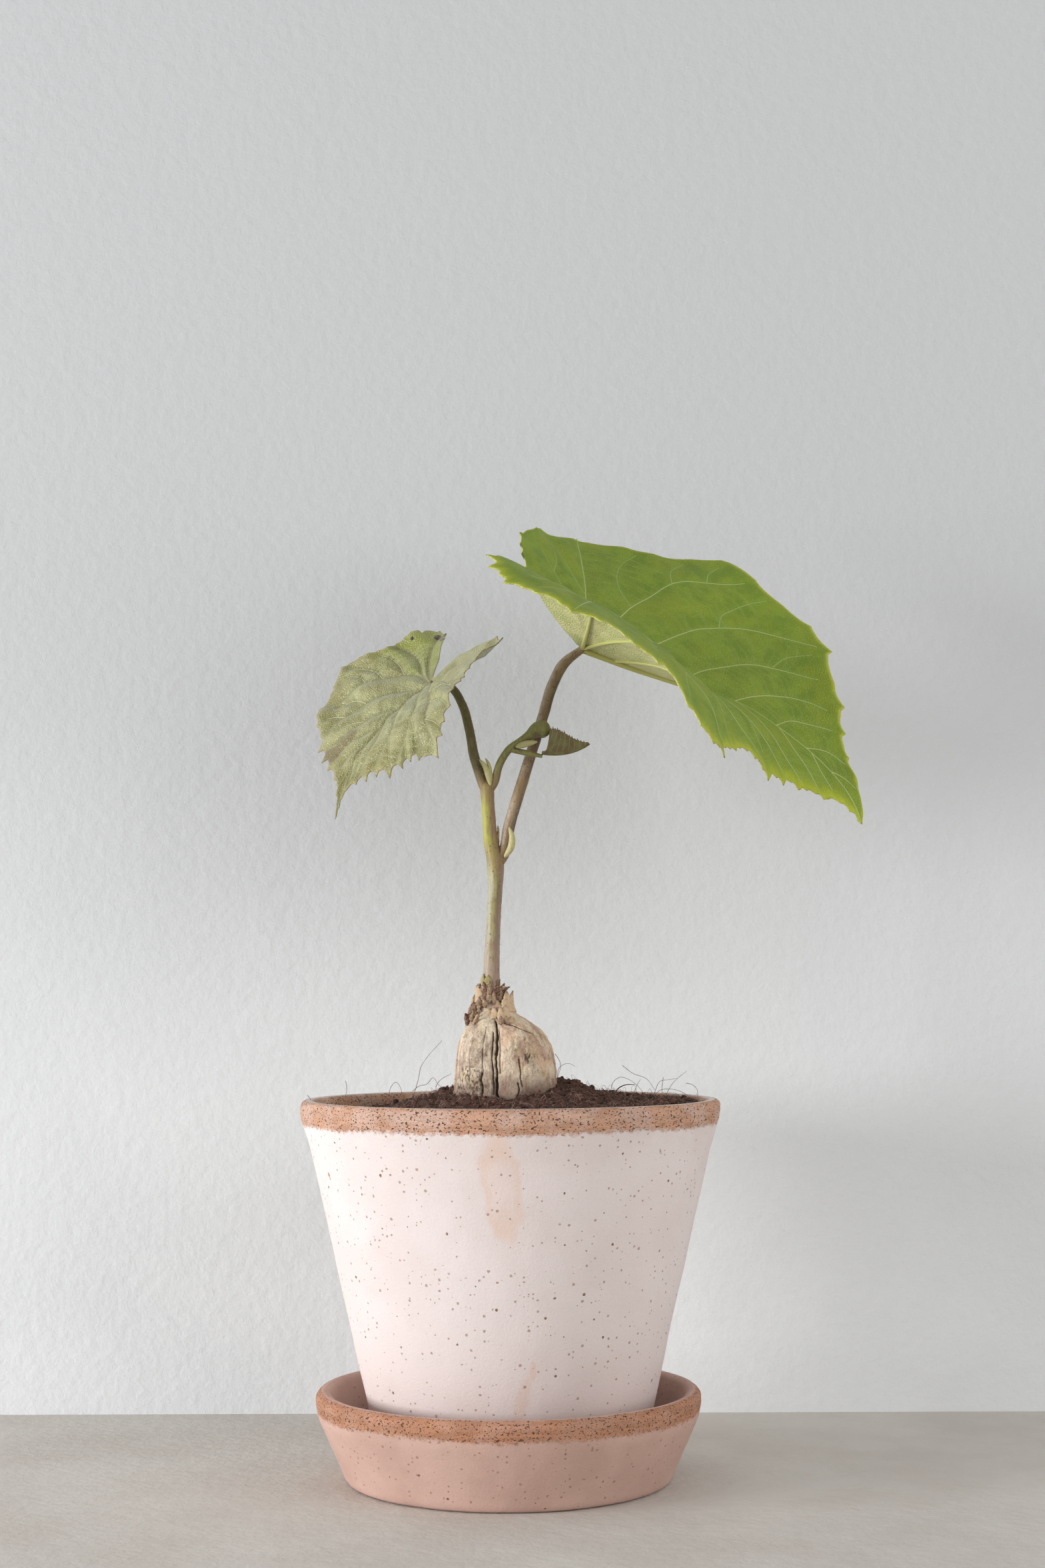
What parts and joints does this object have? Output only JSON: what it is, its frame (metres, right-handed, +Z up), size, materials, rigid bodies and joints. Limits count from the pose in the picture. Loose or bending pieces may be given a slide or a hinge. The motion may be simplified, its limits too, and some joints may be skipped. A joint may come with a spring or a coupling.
{
  "type": "potted ampelocissus martini",
  "caption": "Potted caudex vine: a swollen stem base, toothed heart-shaped leaves on one stem, a tapered terracotta pot and a round saucer.",
  "frame": {"origin": "centre of the saucer's underside", "axes": "+Z up along the pot, -Y towards the front, +X to the right, where the large leaf hangs over"},
  "size_m": [0.1919, 0.1416, 0.3271],
  "materials": {
    "saucer_clay": "matte",
    "pot_clay": "matte, chalky",
    "potting_soil": "rough",
    "caudex_bark": "rough",
    "stem_skin": "satin",
    "leaf_green": "satin",
    "leaf_silver": "satin",
    "leaf_bronze": "satin"
  },
  "bodies": {
    "root": {"saucer": "saucer_clay", "pot": "pot_clay", "soil": "potting_soil", "caudex": "caudex_bark", "stem": "stem_skin", "leaf_large": "leaf_green", "leaf_small": "leaf_silver", "leaf_young": "leaf_bronze"}
  },
  "joints": []
}
